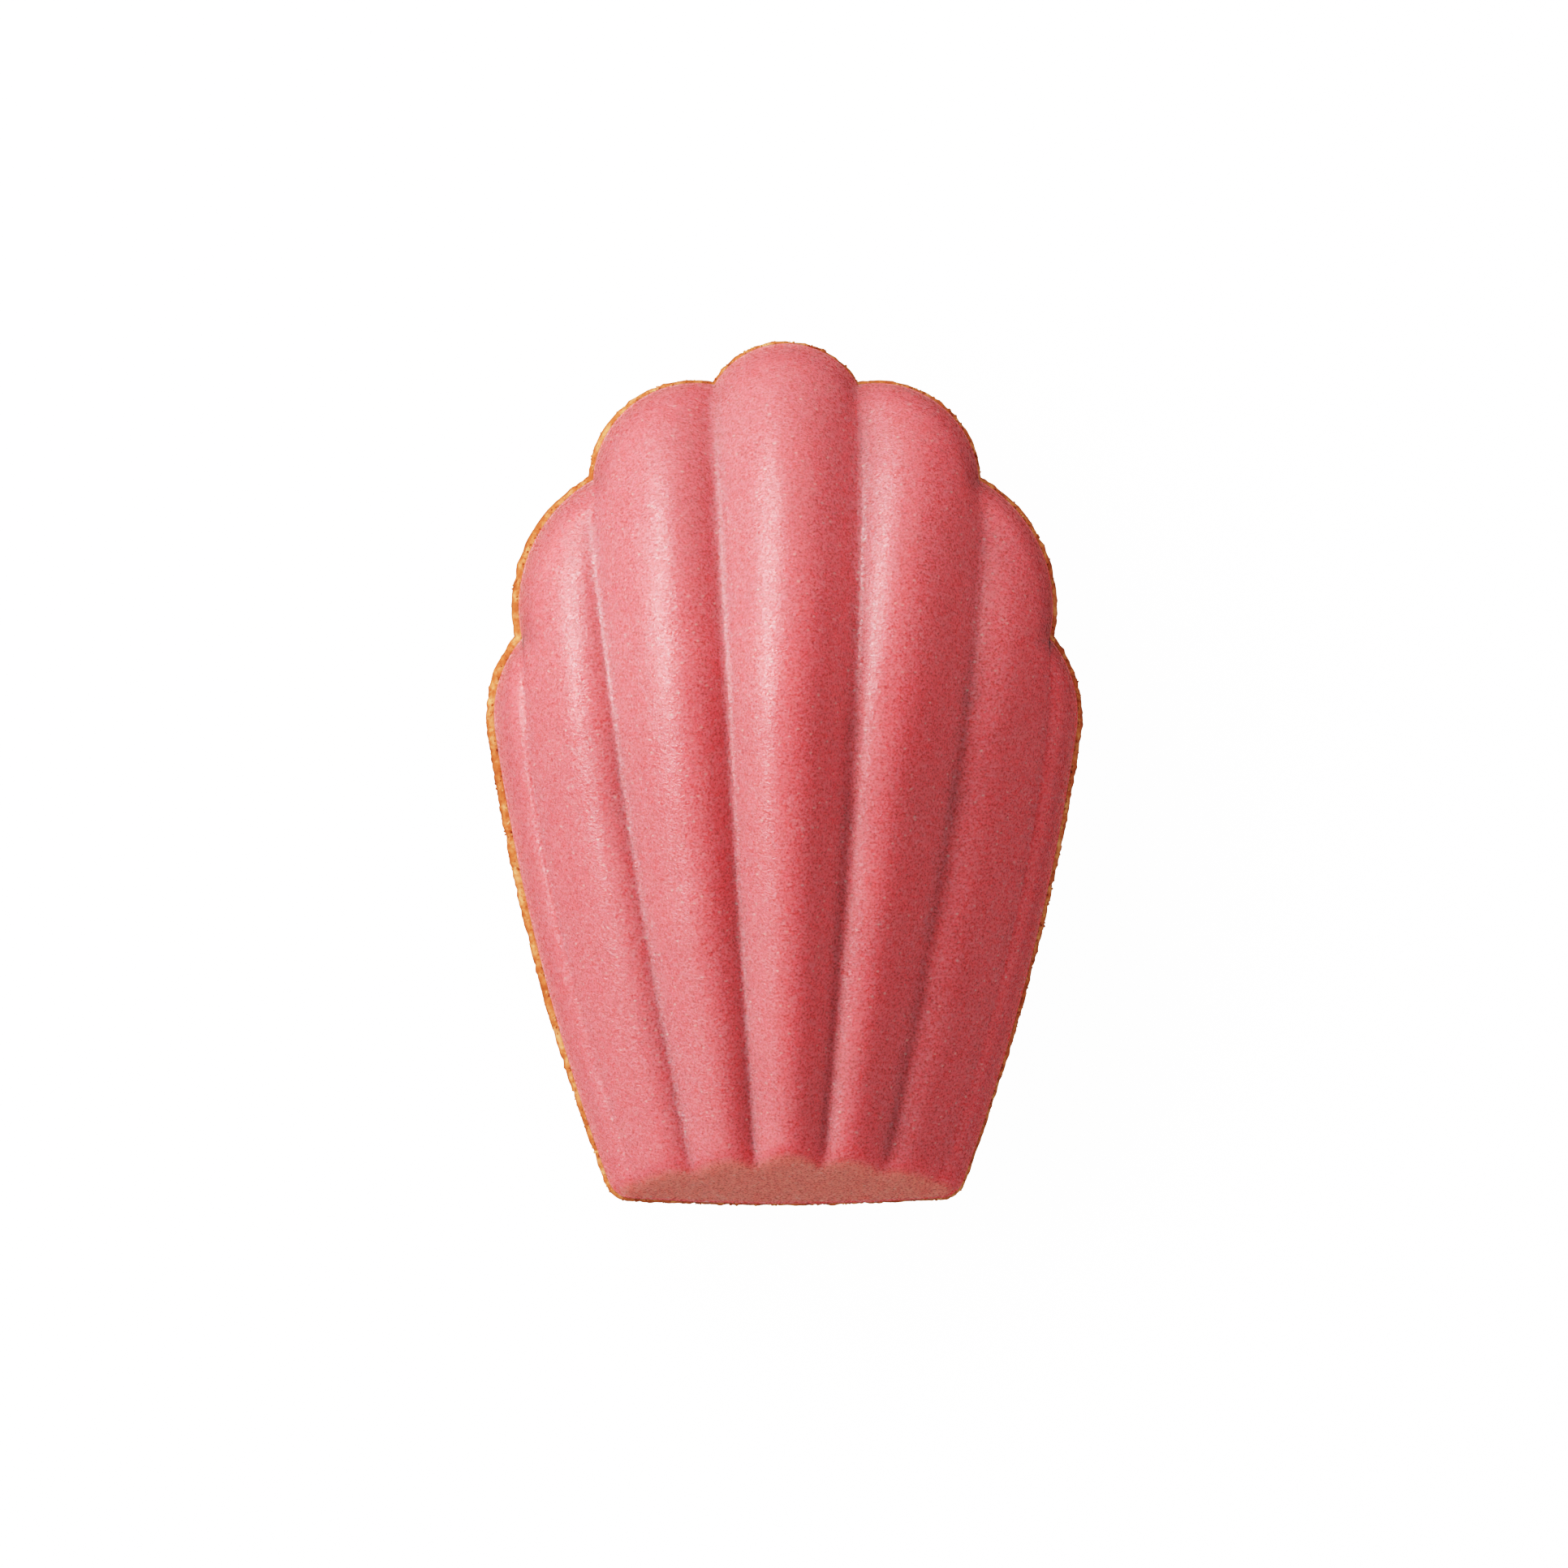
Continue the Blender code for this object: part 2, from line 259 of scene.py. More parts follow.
def groove_point(index, share):
    """Point of a groove, or of the side line, at a share of its length from foot to notch."""
    if index == len(GROOVES):
        y = foot_y(side_x(HEEL_Y)) + (WIDEST_Y - foot_y(side_x(HEEL_Y))) * share
        return Vector((side_x(y), y))
    start, bend = GROOVES[index][:2]
    end = NOTCHES[index]
    x = start + (end.x - start) * (1 - (1 - share) ** bend)
    return Vector((x, foot_y(start) + (end.y - foot_y(start)) * share))


def lobe_point(index, part):
    """Point on a lobe's arc, from its inner notch (0) to its outer one (1)."""
    cx, cy, radius = LOBES[index]
    ends = [Vector((-NOTCHES[0].x, NOTCHES[0].y))] + NOTCHES + [WIDEST]
    start, stop = (math.atan2(end.y - cy, end.x - cx) for end in ends[index : index + 2])
    angle = start + (stop - start) * part
    return Vector((cx + radius * math.cos(angle), cy + radius * math.sin(angle)))


def rib_place(phase):
    """(rib, part) of an unsigned phase: whole phases are crests, halves are grooves."""
    rib = min(int(phase + 0.5), len(LOBES) - 1)
    return rib, phase + 0.5 - rib


def ribbed_plan(phase, share):
    """Plan point on the right-hand half: phase across the ribs, share from foot to end."""
    rib, part = rib_place(phase)
    right = groove_point(rib, share)
    left = groove_point(rib - 1, share) if rib else Vector((-right.x, right.y))
    stop = groove_point(rib, 1)
    start = groove_point(rib - 1, 1) if rib else Vector((-stop.x, stop.y))
    bulge = lobe_point(rib, part) - start.lerp(stop, part)
    return left.lerp(right, part) + bulge * share**BULGE_POWER


def rib_section(across):
    """0 on a crest (0) to 1 in the groove (1): an arc with a fillet where it meets the next."""

    def drop(place):
        edge = 1 / math.sqrt(1 - RIB_FULLNESS**2)
        arc = (1 - math.sqrt(1 - (RIB_FULLNESS * place) ** 2)) / RIB_FULLNESS**2
        return arc - edge * max(place - 1 + GROOVE_FILLET, 0) ** 2 / (2 * GROOVE_FILLET)

    return drop(across) / drop(1)


def groove_cut(phase, share):
    """How far the face is cut down between two ribs."""
    rib, part = rib_place(phase)
    across = 2 * part - 1
    if rib == len(LOBES) - 1 and across > 0:
        return 0.0
    index = max(rib if across > 0 else rib - 1, 0)
    here = groove_point(index, share)
    outer = (groove_point(index + 1, share) - here).length
    inner = abs(here.x - groove_point(index - 1, share).x) if index else 2 * here.x
    at_end, at_heel = GROOVES[index][2:]
    depth = at_end + (at_heel - at_end) * (1 - share) ** 2
    return depth * (outer + inner) / 4 * rib_section(min(abs(across), 1))


def heel_edge(phase):
    """Share of the way from foot to end at which a column crosses the heel's top edge."""
    edge = 0.0
    for _ in range(4):
        point = ribbed_plan(phase, edge)
        climb = (dome(point.x, point.y) - groove_cut(phase, edge)) / math.tan(HEEL_SLOPE)
        edge = climb / (ribbed_plan(phase, 1).y - HEEL_Y)
    return edge


def crowded(phase):
    """Shifts evenly spaced phases towards the grooves, where the face turns fastest."""
    return phase + GROOVE_CROWDING * math.sin(math.tau * phase) / math.tau


def row_share(edge, row):
    """Share of the way from foot to end of a row, 0 to 1, with one row on the heel's top edge."""
    if row < HEEL_SHARE:
        return edge * row / HEEL_SHARE
    rest = (row - HEEL_SHARE) / (1 - HEEL_SHARE)
    return edge + (1 - edge) * (1 - (1 - rest) ** END_CROWDING)


def round_corner(point):
    """Draws the sharp corner between heel and side in to its radius."""
    corner = groove_point(len(GROOVES), 0)
    reach = CORNER_RADIUS * math.tan(CORNER_TURN / 2)
    depth = CORNER_RADIUS * (1 / math.cos(CORNER_TURN / 2) - 1)
    inwards = Vector((-math.sin(CORNER_TURN / 2), math.cos(CORNER_TURN / 2)))
    near = max(1 - (point - corner).length / reach, 0.0)
    return point + inwards * depth * near * near


def face_point(phase, share):
    """(point, thin) of the coating's outer face. Thin, a weight for painted shade and satin, is 1 on
    its heel.
    """
    point = tucked(ribbed_plan(phase, share), phase, share)
    shoulder = wall(point.x, point.y)
    high = (dome(point.x, point.y) - groove_cut(phase, share)) * shoulder
    heel = (point.y - foot_y(point.x)) * math.tan(HEEL_SLOPE)
    # Painted shade: the side walls, and fully the heel, get the browner pink that their shaded faces
    # show; the same weight dulls their satin.
    thin = WALL_SHADE_AND_SATIN * (1 - smooth_step(0.4, 0.9, shoulder))
    thin = max(thin, 1 - smooth_step(-0.6, 0.9, heel - high))
    high = max(smooth_min(high, heel, HEEL_ROUNDING), 0.0)
    point = round_corner(point)
    return Vector((point.x, point.y, FOOT_HEIGHT + high)), thin


def shrink(inset):
    """Scale that brings the face in by a wall of this thickness on every side."""
    full = (HALF_WIDTH, END_Y, FACE_HEIGHT + FOOT_HEIGHT)
    return Vector([1 - inset / length for length in full])


def bearing(spot):
    """Angle round the cake, from the scalloped tip towards +X, evened out for its length."""
    return math.atan2(spot.x / HALF_WIDTH, spot.y / END_Y)


def roughness(point, grain, octaves=3):
    """Smooth noise of about -1 to 1 whose bumps are grain millimetres across."""
    return noise.fractal(Vector(point) / grain, 1.0, 2.0, octaves)


# ---------------------------------------------------------------- mesh helpers


def ribbed_grid(mesh, inset, columns, rows, waviness=0.0):
    """One ribbed face, brought in by inset. Returns its boundary edges."""
    spot = mesh.verts.layers.float_vector.get("spot") or mesh.verts.layers.float_vector.new("spot")
    thin = mesh.verts.layers.float.get("thin") or mesh.verts.layers.float.new("thin")
    made = bmesh.ops.create_grid(mesh, x_segments=columns, y_segments=rows, size=0.5)["verts"]
    scale = shrink(inset)
    edges_at = {}
    for vert in made:
        side = math.copysign(1, vert.co.x)
        column = round(abs(vert.co.x) * columns * 2)
        phase = crowded(column / columns * RIBS / 2)
        row = min(max(vert.co.y + 0.5, 0.0), 1.0)
        if column not in edges_at:
            edges_at[column] = heel_edge(phase)
        point, vert[thin] = face_point(phase, row_share(edges_at[column], row))
        point.x *= side
        if column == columns or row < 1e-5 or row > 1 - 1e-5:
            point.z = FOOT_HEIGHT
        elif waviness:
            steady = 1 - vert[thin]
            point.z += waviness * steady * roughness(point, 7.0)
        vert[spot] = point
        vert.co = point * scale
    inside = set(made)
    edges = {edge for vert in made for edge in vert.link_edges}
    return [edge for edge in edges if edge.is_boundary and set(edge.verts) <= inside]


def add_ring(mesh, edges, place):
    """Extrudes a closed loop of edges and moves its new points to place(outline point)."""
    spot = mesh.verts.layers.float_vector["spot"]
    made = bmesh.ops.extrude_edge_only(mesh, edges=edges)["geom"]
    for vert in made:
        if isinstance(vert, bmesh.types.BMVert):
            vert.co = place(vert[spot])
    return [item for item in made if isinstance(item, bmesh.types.BMEdge) and item.is_boundary]


def outline(inset, height):
    """A ring rule: the outline brought in by inset, at one height."""
    scale = shrink(inset)
    return lambda spot: Vector((spot.x * scale.x, spot.y * scale.y, height))


def outward(spot):
    """Unit vector away from the cake in plan."""
    return Vector((spot.x, spot.y / 2, 0)).normalized()


def edge_origin():
    """Where the frame holds the middle of the coating's lower edge, in metres."""
    low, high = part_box("coating")
    return Vector(((low.x + high.x) / 2, high.y - END_Y * MM, low.z))


def finish_piece(name, mesh, material, node):
    """Turns a modelled bmesh into a piece of the part, in metres and in its place."""
    mesh.transform(Matrix.Translation(edge_origin()) @ Matrix.Diagonal((MM, MM, MM, 1)))
    bmesh.ops.recalc_face_normals(mesh, faces=mesh.faces)
    data = bpy.data.meshes.new(name)
    mesh.to_mesh(data)
    mesh.free()
    data.materials.append(material)
    data.shade_smooth()
    piece = bpy.data.objects.new(name, data)
    bpy.context.scene.collection.objects.link(piece)
    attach(piece, "root")
    if node:
        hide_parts(node)
    return piece


# ---------------------------------------------------------------- materials


def linear(colour):
    """Linear red, green and blue of an sRGB hex colour such as #E58080."""
    values = [int(colour[start : start + 2], 16) / 255 for start in (1, 3, 5)]
    return tuple(v / 12.92 if v <= 0.04045 else ((v + 0.055) / 1.055) ** 2.4 for v in values)


def add_node(tree, kind, inputs=None, **settings):
    """Adds a node with its settings, and links or sets its inputs."""
    node = tree.nodes.new(kind)
    for name, value in settings.items():
        setattr(node, name, value)
    for key, value in (inputs or {}).items():
        if isinstance(value, bpy.types.NodeSocket):
            tree.links.new(value, node.inputs[key])
        else:
            node.inputs[key].default_value = value
    return node


def new_material(name):
    """An empty material, and its node tree."""
    material = bpy.data.materials.new(name)
    material.use_nodes = True
    material.node_tree.nodes.clear()
    return material, material.node_tree


def pink_couverture(settings):
    """Pink white-chocolate couverture, cast against a satin mould and unpolished.

    Cocoa butter lets light a little way in, which reddens the shadows. The mould leaves a thin
    clear skin of it with a fine leathery grain, which breaks each highlight into flecks.
    """
    material, tree = new_material("pink_couverture_satin_moulded")
    place = add_node(tree, "ShaderNodeTexCoord").outputs["Object"]
    thin = add_node(tree, "ShaderNodeAttribute", attribute_name="thin").outputs["Fac"]
    stretched = add_node(
        tree, "ShaderNodeMapping", {"Vector": place, "Scale": (1.0, 1.5, 1.2)}
    ).outputs["Vector"]
    # The skin's grain is 0.1 mm on the real thing. It is drawn twice as coarse, so that it shows.
    grain = add_node(
        tree,
        "ShaderNodeTexNoise",
        {"Vector": place, "Scale": 1 / (0.18 * MM), "Detail": 2.0, "Roughness": 0.6},
    ).outputs["Fac"]
    leather = add_node(
        tree,
        "ShaderNodeTexNoise",
        {"Vector": stretched, "Scale": 1 / (0.42 * MM), "Detail": 2.0, "Distortion": 1.2},
    ).outputs["Fac"]
    clouds = add_node(
        tree,
        "ShaderNodeTexNoise",
        {"Vector": place, "Scale": 1 / (5.0 * MM), "Detail": 3.0},
    ).outputs["Fac"]
    flecks = add_node(
        tree,
        "ShaderNodeTexVoronoi",
        {"Vector": stretched, "Scale": 1 / (1.1 * MM)},
        feature="F1",
    ).outputs["Distance"]
    fleck = add_node(
        tree,
        "ShaderNodeMapRange",
        {"Value": flecks, "From Min": 0.16, "From Max": 0.08, "To Min": 0.0, "To Max": 0.6},
    ).outputs["Result"]
    pink = add_node(
        tree,
        "ShaderNodeMix",
        {0: clouds, 6: (*settings.deep_colour, 1), 7: (*settings.colour, 1)},
        data_type="RGBA",
    ).outputs[2]
    # Painted shade: the walls and heel are tinted the browner pink that their shaded faces take on
    # under the lamps.
    walls = add_node(
        tree,
        "ShaderNodeMix",
        {0: thin, 6: pink, 7: (*settings.wall_shade_tint, 1)},
        data_type="RGBA",
    ).outputs[2]
    shade = add_node(
        tree,
        "ShaderNodeMapRange",
        {"Value": grain, "From Min": 0.3, "From Max": 0.7, "To Min": 0.64, "To Max": 1.46},
    ).outputs["Result"]
    grained = add_node(
        tree,
        "ShaderNodeVectorMath",
        {0: walls, "Scale": shade},
        operation="SCALE",
    ).outputs["Vector"]
    colour = add_node(
        tree,
        "ShaderNodeMix",
        {0: fleck, 6: grained, 7: (*linear("#F4BDB8"), 1)},
        data_type="RGBA",
    ).outputs[2]
    relief = add_node(
        tree,
        "ShaderNodeMath",
        {0: leather, 1: 3.5, 2: grain},
        operation="MULTIPLY_ADD",
    ).outputs["Value"]
    bump = add_node(
        tree,
        "ShaderNodeBump",
        {"Height": relief, "Strength": 1.0, "Distance": settings.grain_depth},
    ).outputs["Normal"]
    # The crests of the leathery grain touched the mould, and are glossier than its hollows.
    polish = add_node(
        tree,
        "ShaderNodeMapRange",
        {
            "Value": leather,
            "From Min": 0.46,
            "From Max": 0.56,
            "To Min": 0.5,
            "To Max": settings.roughness,
        },
    ).outputs["Result"]
    satin = add_node(
        tree, "ShaderNodeMapRange", {"Value": thin, "To Min": polish, "To Max": 0.6}
    ).outputs["Result"]
    shader = add_node(
        tree,
        "ShaderNodeBsdfPrincipled",
        {
            "Base Color": colour,
            "Roughness": satin,
            "Normal": bump,
            "IOR": 1.46,
            "Coat Weight": 0.5,
            "Coat Roughness": 0.2,
            "Coat IOR": 1.5,
            "Coat Normal": bump,
            "Subsurface Weight": 1.0,
            "Subsurface Radius": (3.0, 0.35, 0.3),
            "Subsurface Scale": 1 * MM,
        },
    ).outputs["BSDF"]
    add_node(tree, "ShaderNodeOutputMaterial", {"Surface": shader})
    return material


def baked_crust(settings):
    """Butter sponge baked against a tin: a thin browned crust over open yellow crumb.

    It is matt, darkest where the batter was thinnest, and pale where a crumb has come away.
    """
    material, tree = new_material("butter_sponge_crust_baked")
    place = add_node(tree, "ShaderNodeTexCoord").outputs["Object"]
    browned = add_node(tree, "ShaderNodeAttribute", attribute_name="browned").outputs["Fac"]
    crumb = add_node(
        tree,
        "ShaderNodeTexNoise",
        {"Vector": place, "Scale": 1 / (0.7 * MM), "Detail": 4.0, "Roughness": 0.65},
    ).outputs["Fac"]
    patches = add_node(
        tree,
        "ShaderNodeTexNoise",
        {"Vector": place, "Scale": 1 / (4.0 * MM), "Detail": 3.0},
    ).outputs["Fac"]
    amount = add_node(
        tree, "ShaderNodeMath", {0: crumb, 1: 1.6, 2: -0.8}, operation="MULTIPLY_ADD"
    ).outputs["Value"]
    cloud = add_node(
        tree, "ShaderNodeMath", {0: patches, 1: 0.8, 2: -0.4}, operation="MULTIPLY_ADD"
    ).outputs["Value"]
    stained = add_node(
        tree, "ShaderNodeMath", {0: amount, 1: cloud}, operation="ADD"
    ).outputs["Value"]
    brown = add_node(
        tree, "ShaderNodeMath", {0: stained, 1: browned}, operation="ADD", use_clamp=True
    ).outputs["Value"]
    ramp = add_node(tree, "ShaderNodeValToRGB", {"Fac": brown})
    stops = ramp.color_ramp.elements
    stops[0].color = (*settings.crumb_colour, 1)
    stops[1].color = (*settings.brown_colour, 1)
    stops.new(0.5).color = (*settings.crust_colour, 1)
    bump = add_node(
        tree,
        "ShaderNodeBump",
        {"Height": crumb, "Strength": 1.0, "Distance": 0.15 * MM},
    ).outputs["Normal"]
    shader = add_node(
        tree,
        "ShaderNodeBsdfPrincipled",
        {
            "Base Color": ramp.outputs["Color"],
            "Roughness": 0.75,
            "Normal": bump,
            "IOR": 1.4,
            "Subsurface Weight": 0.15,
            "Subsurface Radius": (1.0, 0.6, 0.3),
            "Subsurface Scale": 1 * MM,
        },
    ).outputs["BSDF"]
    add_node(tree, "ShaderNodeOutputMaterial", {"Surface": shader})
    return material


def lit_acrylic(settings):
    """Opal acrylic lit from below, as on a light table: an even white ground, almost shadowless."""
    material, tree = new_material("opal_acrylic_backlit")
    shader = add_node(
        tree,
        "ShaderNodeBsdfPrincipled",
        {
            "Base Color": (*settings.floor_colour, 1),
            "Roughness": 0.8,
            "Emission Color": (1, 1, 1, 1),
            "Emission Strength": settings.floor_glow,
        },
    ).outputs["BSDF"]
    add_node(tree, "ShaderNodeOutputMaterial", {"Surface": shader})
    return material


# ---------------------------------------------------------------- pieces


def model_coating(mesh, settings):
    """The shell: outer face, rounded foot, flat lower edge and the inner face over the sponge."""
    inside = FOOT_WIDTH + settings.thickness / MM
    loop = ribbed_grid(mesh, FOOT_WIDTH, COATING_COLUMNS, COATING_ROWS, settings.waviness / MM)
    thin = mesh.verts.layers.float["thin"]
    for step in range(1, 5):
        angle = math.radians(22.5 * step)
        inset = FOOT_WIDTH * (1 - math.sin(angle))
        height = FOOT_HEIGHT - FOOT_ROUNDING * (1 - math.cos(angle))
        loop = add_ring(mesh, loop, outline(inset, height))
    loop = add_ring(mesh, loop, outline(0.0, 0.1))
    loop = add_ring(mesh, loop, outline(0.08, 0.0))
    add_ring(mesh, loop, outline(inside, 0.0))
    inner = ribbed_grid(mesh, inside, COATING_COLUMNS, COATING_ROWS)
    add_ring(mesh, inner, outline(inside, 0.0))
    bmesh.ops.remove_doubles(mesh, verts=mesh.verts, dist=WELD)
    # The foot and lower edge take the walls' painted shade tint and duller satin.
    for vert in mesh.verts:
        if vert.co.z <= FOOT_HEIGHT:
            vert[thin] = WALL_SHADE_AND_SATIN


def rim_width(spot, settings):
    """The browned rim is uneven, as the batter spread in the tin: wider along the left side."""
    angle = bearing(spot)
    sides = -settings.rim_sides * math.cos(2 * angle) - settings.rim_left * math.sin(angle)
    return (settings.rim_width + sides) / MM


def ragged(spot, settings):
    """How far the rim's edge juts out or in, in millimetres."""
    fine = roughness(spot, 0.9, 3)
    broad = roughness(spot, 4.0, 2)
    return settings.raggedness / MM * (fine * 0.8 + broad * 0.5)


def rim_ring(step, settings):
    """A ring rule: a half-round rim, from under the coating (0) round to its underside (1)."""
    turn = math.pi * (0.02 + 0.86 * step)

    def place(spot):
        out = outward(spot)
        reach = -0.35 + (rim_width(spot, settings) + 0.35) * math.sin(turn) ** 0.8
        reach += ragged(spot, settings) * smooth_step(0.1, 0.4, step)
        height = -RIM_THICKNESS / 2 + (RIM_THICKNESS / 2 - 0.12) * math.cos(turn)
        height += 0.12 * roughness(spot + Vector((0, 0, 9)), 1.2) * smooth_step(0.1, 0.4, step)
        point = Vector((spot.x, spot.y, height)) + out * reach
        jut = 0.07 * roughness(point, 0.45, 2) * smooth_step(0.15, 0.3, step)
        return point + out * jut

    return place


def oval(axes, middle_y, angle):
    return Vector((axes[0] * math.sin(angle), middle_y + axes[1] * math.cos(angle), 0))


def hump_ring(ring, settings):
    """A ring rule: from the rim's underside (0) through the belly to the flat spot (1)."""
    crust = smooth_step(0.0, 0.1, ring) * (1 - smooth_step(0.8, 0.97, ring))

    def place(spot):
        angle = bearing(spot)
        start = Vector((spot.x, spot.y, 0)) * HUMP_START
        belly = oval(HUMP_BELLY, 0.0, angle)
        flat = oval(SPOT, SPOT_Y, angle)
        point = start.lerp(belly, ring).lerp(belly.lerp(flat, ring), ring)
        sink = 1 - (1 - ring) ** HUMP_FULLNESS
        point.z = -RIM_THICKNESS - (HUMP_DEPTH - RIM_THICKNESS) * sink
        swell = 0.25 * roughness(point, 5.0) + 0.09 * roughness(point, 1.3)
        return point + Vector((point.x, point.y / 2, 0)).normalized() * swell * crust

    return place


def model_sponge(mesh, settings):
    """The cake: ribbed top under the coating, ledge, ragged browned rim, hump and flat spot."""
    inset = FOOT_WIDTH + settings.core_inset / MM
    loop = ribbed_grid(mesh, inset, CORE_COLUMNS, CORE_ROWS)
    loop = add_ring(mesh, loop, outline(inset, -0.12))
    cut = bmesh.ops.subdivide_edges(mesh, edges=loop, cuts=RIM_CUTS)["geom_split"]
    loop = [item for item in cut if isinstance(item, bmesh.types.BMEdge) and item.is_boundary]
    browned = mesh.verts.layers.float.new("browned")
    spot = mesh.verts.layers.float_vector["spot"]
    for step in range(RIM_RINGS + 1):
        share = step / RIM_RINGS
        loop = add_ring(mesh, loop, rim_ring(share, settings))
        for vert in {vert for edge in loop for vert in edge.verts}:
            vert[browned] = 0.4 + 0.42 * smooth_step(0.2, 0.6, share)
    for step in range(HUMP_RINGS + 1):
        share = step / HUMP_RINGS
        loop = add_ring(mesh, loop, hump_ring(share, settings))
        for vert in {vert for edge in loop for vert in edge.verts}:
            patch = 0.15 * roughness(vert[spot], 12.0)
            vert[browned] = 0.75 - 0.3 * smooth_step(0.1, 0.7, share) + patch
    bmesh.ops.contextual_create(mesh, geom=loop)


def rim_spots(count, chance):
    """Random places on the outline, evenly spread over its two sides and its two ends."""
    spots = []
    while len(spots) < count:
        row = chance.random()
        if chance.random() < 0.5:
            phase, share = chance.uniform(0, RIBS / 2), float(row < 0.72)
        else:
            phase, share = RIBS / 2, row
        point = round_corner(ribbed_plan(phase, share))
        spots.append(Vector((point.x * chance.choice((-1, 1)), point.y, 0)))
    return spots


def model_crumbs(mesh, settings):
    """Loose grains of crust that cling to the rim, each a knocked-about little ball."""
    chance = random.Random(7)
    browned = mesh.verts.layers.float.new("browned")
    for spot in rim_spots(settings.crumbs, chance):
        width = rim_width(spot, settings)
        size = settings.crumb_size / MM * chance.uniform(0.5, 1.2)
        out = outward(spot)
        reach = width * chance.uniform(0.1, 1.0) + ragged(spot, settings)
        lift = -0.2 - 0.6 * max(reach / max(width, 0.1), 0) ** 2
        place = spot + out * (reach - size * 0.2) + Vector((0, 0, lift))
        turned = Matrix.Rotation(chance.uniform(0, math.tau), 4, Vector((1, 1, 1)).normalized())
        made = bmesh.ops.create_icosphere(
            mesh, subdivisions=1, radius=size / 2, matrix=Matrix.Translation(place) @ turned
        )["verts"]
        tone = chance.uniform(0.0, 0.9)
        for vert in made:
            vert.co = place + (vert.co - place) * chance.uniform(0.7, 1.25)
            vert[browned] = tone


# ---------------------------------------------------------------- settings


class CoatingSettings(bpy.types.PropertyGroup):
    """Sizes and colours of the moulded coating."""

    thickness: FloatProperty(
        name="Thickness", description="Wall of the coating", default=1.25 * MM, unit="LENGTH"
    )
    waviness: FloatProperty(
        name="Waviness",
        description="How far the face strays from true ribs",
        default=0.12 * MM,
        unit="LENGTH",
    )
    grain_depth: FloatProperty(
        name="Grain depth",
        description="Relief of the mould's leathery grain",
        default=0.02 * MM,
        unit="LENGTH",
    )
    roughness: FloatProperty(
        name="Roughness",
        description="Of the glossiest places on the ribs",
        default=0.14,
        min=0.0,
        max=1.0,
        subtype="FACTOR",
    )
    colour: FloatVectorProperty(
        name="Colour",
        description="Pink of the ribs",
        default=linear("#FA8789"),
        subtype="COLOR",
        min=0.0,
        max=1.0,
    )
    deep_colour: FloatVectorProperty(
        name="Deep colour",
        description="Where the pink is strongest",
        default=linear("#F47E81"),
        subtype="COLOR",
        min=0.0,
        max=1.0,
    )
    # Painted shade: the browner pink that the walls and heel show in shade, painted onto them.
    wall_shade_tint: FloatVectorProperty(
        name="Wall colour",
        description="Where the coating is thin and the sponge shows through",
        default=linear("#F4938B"),
        subtype="COLOR",
        min=0.0,
        max=1.0,
    )


class SpongeSettings(bpy.types.PropertyGroup):
    """Sizes and colours of the sponge, its rim and its crumbs."""

    core_inset: FloatProperty(
        name="Core inset",
        description="From the coating's face to the sponge under it",
        default=1.6 * MM,
        unit="LENGTH",
    )
    rim_width: FloatProperty(
        name="Rim width",
        description="How far the rim stands out past the coating",
        default=0.38 * MM,
        unit="LENGTH",
    )
    rim_sides: FloatProperty(
        name="Side rim",
        description="More than that along the sides, and less at heel and tip",
        default=0.17 * MM,
        unit="LENGTH",
    )
    rim_left: FloatProperty(
        name="Left rim",
        description="More than that on the left, and less on the right",
        default=0.10 * MM,
        unit="LENGTH",
    )
    raggedness: FloatProperty(
        name="Raggedness",
        description="How far the rim's edge juts in and out",
        default=0.14 * MM,
        unit="LENGTH",
    )
    crumbs: IntProperty(
        name="Crumbs", description="Loose grains along the rim", default=1500, min=0, max=4000
    )
    crumb_size: FloatProperty(
        name="Crumb size", description="Across a grain", default=0.22 * MM, unit="LENGTH"
    )
    crumb_colour: FloatVectorProperty(
        name="Crumb colour",
        description="Pale open crumb",
        default=linear("#E8B284"),
        subtype="COLOR",
        min=0.0,
        max=1.0,
    )
    crust_colour: FloatVectorProperty(
        name="Crust colour",
        description="Golden crust",
        default=linear("#C97A50"),
        subtype="COLOR",
        min=0.0,
        max=1.0,
    )
    brown_colour: FloatVectorProperty(
        name="Browned colour",
        description="Well-browned crust",
        default=linear("#9A5634"),
        subtype="COLOR",
        min=0.0,
        max=1.0,
    )


class StageSettings(bpy.types.PropertyGroup):
    """The floor, lights and camera."""

    floor_colour: FloatVectorProperty(
        name="Floor colour",
        description="Opal acrylic under the cake",
        default=linear("#606060"),
        subtype="COLOR",
        min=0.0,
        max=1.0,
    )
    floor_glow: FloatProperty(
        name="Floor glow", description="Light that comes up through the floor", default=1.66, min=0.0
    )
    room_light: FloatProperty(
        name="Room light", description="Soft light from all round", default=0.58, min=0.0
    )
    key_power: FloatProperty(name="Key light", description="In watts", default=8.5, min=0.0)
    fill_power: FloatProperty(name="Fill light", description="In watts", default=0.5, min=0.0)
    frame_width: FloatProperty(
        name="Frame width",
        description="Width that the camera takes in at the cake's rim",
        default=126.8 * MM,
        unit="LENGTH",
    )
    lens: FloatProperty(name="Lens", description="Focal length", default=300.0, unit="CAMERA")
    lean_left: FloatProperty(
        name="Lean left",
        description="How far the camera stands to the left of straight above",
        default=math.radians(1.2),
        unit="ROTATION",
    )
    lean_ahead: FloatProperty(
        name="Lean ahead",
        description="How far the camera stands towards the scalloped end",
        default=math.radians(1.6),
        unit="ROTATION",
    )


# ---------------------------------------------------------------- operators


class MADELEINE_OT_coating(bpy.types.Operator):
    """Models the moulded coating over the ribs"""

    bl_idname = "madeleine.coating"
    bl_label = "Coating"

    def execute(self, context):
        settings = context.scene.madeleine_coating
        mesh = bmesh.new()
        model_coating(mesh, settings)
        finish_piece("coating_shell", mesh, pink_couverture(settings), "coating")
        return {"FINISHED"}


